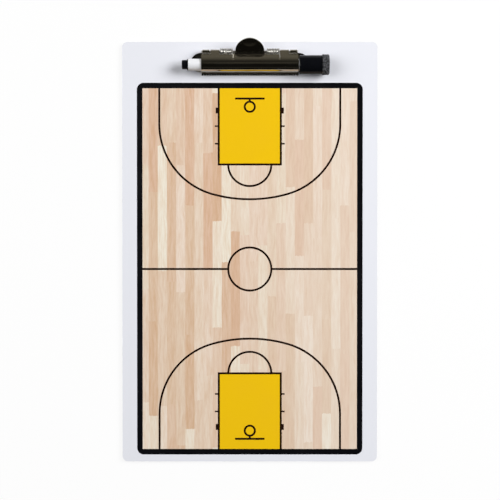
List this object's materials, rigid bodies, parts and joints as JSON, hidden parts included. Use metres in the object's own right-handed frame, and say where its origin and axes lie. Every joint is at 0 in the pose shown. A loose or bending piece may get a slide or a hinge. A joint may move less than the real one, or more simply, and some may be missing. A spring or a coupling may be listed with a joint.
{
  "type": "tactics board",
  "caption": "Dry-erase coaching clipboard printed with a basketball court, with a sprung lever clip that holds sheets and a capped marker with a felt eraser.",
  "frame": {"origin": "centre of the board's back face", "axes": "+X to the right across the printed face, +Y along the board towards the clip, +Z out of the printed face"},
  "size_m": [0.24, 0.396, 0.0264],
  "materials": {
    "board_core": "matt white hard board",
    "white_film": "glossy dry-erase film",
    "back_film": "glossy dry-erase film",
    "black_ink": "black print under gloss",
    "maple_print": "printed maple strips under gloss",
    "yellow_ink": "yellow print under gloss",
    "line_ink": "brown-black print under gloss",
    "plate_nickel": "bright nickel plate",
    "jaw_nickel": "bright nickel plate",
    "pin_steel": "drawn steel",
    "spring_steel": "plated spring wire",
    "rivet_steel": "bright nickel plate",
    "white_plastic": "moulded, glossy",
    "plug_plastic": "moulded, satin",
    "grey_plastic": "moulded, satin",
    "nib_fibre": "pressed fibre soaked with ink",
    "reservoir_fibre": "bonded fibre",
    "cap_plastic": "moulded, satin",
    "felt": "pressed wool felt"
  },
  "bodies": {
    "board": {"board_core": "board_core", "front_film": "white_film", "back_film": "back_film", "border_print": "black_ink", "floor_print": "maple_print", "key_print": "yellow_ink", "line_print": "line_ink", "clip_base_plate": "plate_nickel", "hinge_pin": "pin_steel", "left_spring": "spring_steel", "right_spring": "spring_steel", "left_rivet": "rivet_steel", "right_rivet": "rivet_steel"},
    "jaw": {"clip_jaw": "jaw_nickel"},
    "marker": {"marker_barrel": "white_plastic", "marker_end_plug": "plug_plastic", "nib_holder": "grey_plastic", "marker_nib": "nib_fibre", "ink_reservoir": "reservoir_fibre"},
    "cap": {"marker_cap": "cap_plastic", "eraser_felt": "felt"}
  },
  "joints": [
    {"name": "jaw_hinge", "type": "hinge", "parent": "board", "child": "jaw", "pos_m": [0, 0.187, 0.0124], "axis": [-1, 0, 0], "range_deg": [0, 40], "stiffness_Nm_per_rad": 0.06, "springref_deg": -85.94, "deforming": ["left_spring", "right_spring"]},
    {"name": "marker_slide", "type": "slide", "parent": "board", "child": "marker", "axis": [1, 0, 0], "range_m": [0, 0.13]},
    {"name": "cap_pull", "type": "slide", "parent": "marker", "child": "cap", "axis": [1, 0, 0], "range_m": [0, 0.03]}
  ]
}
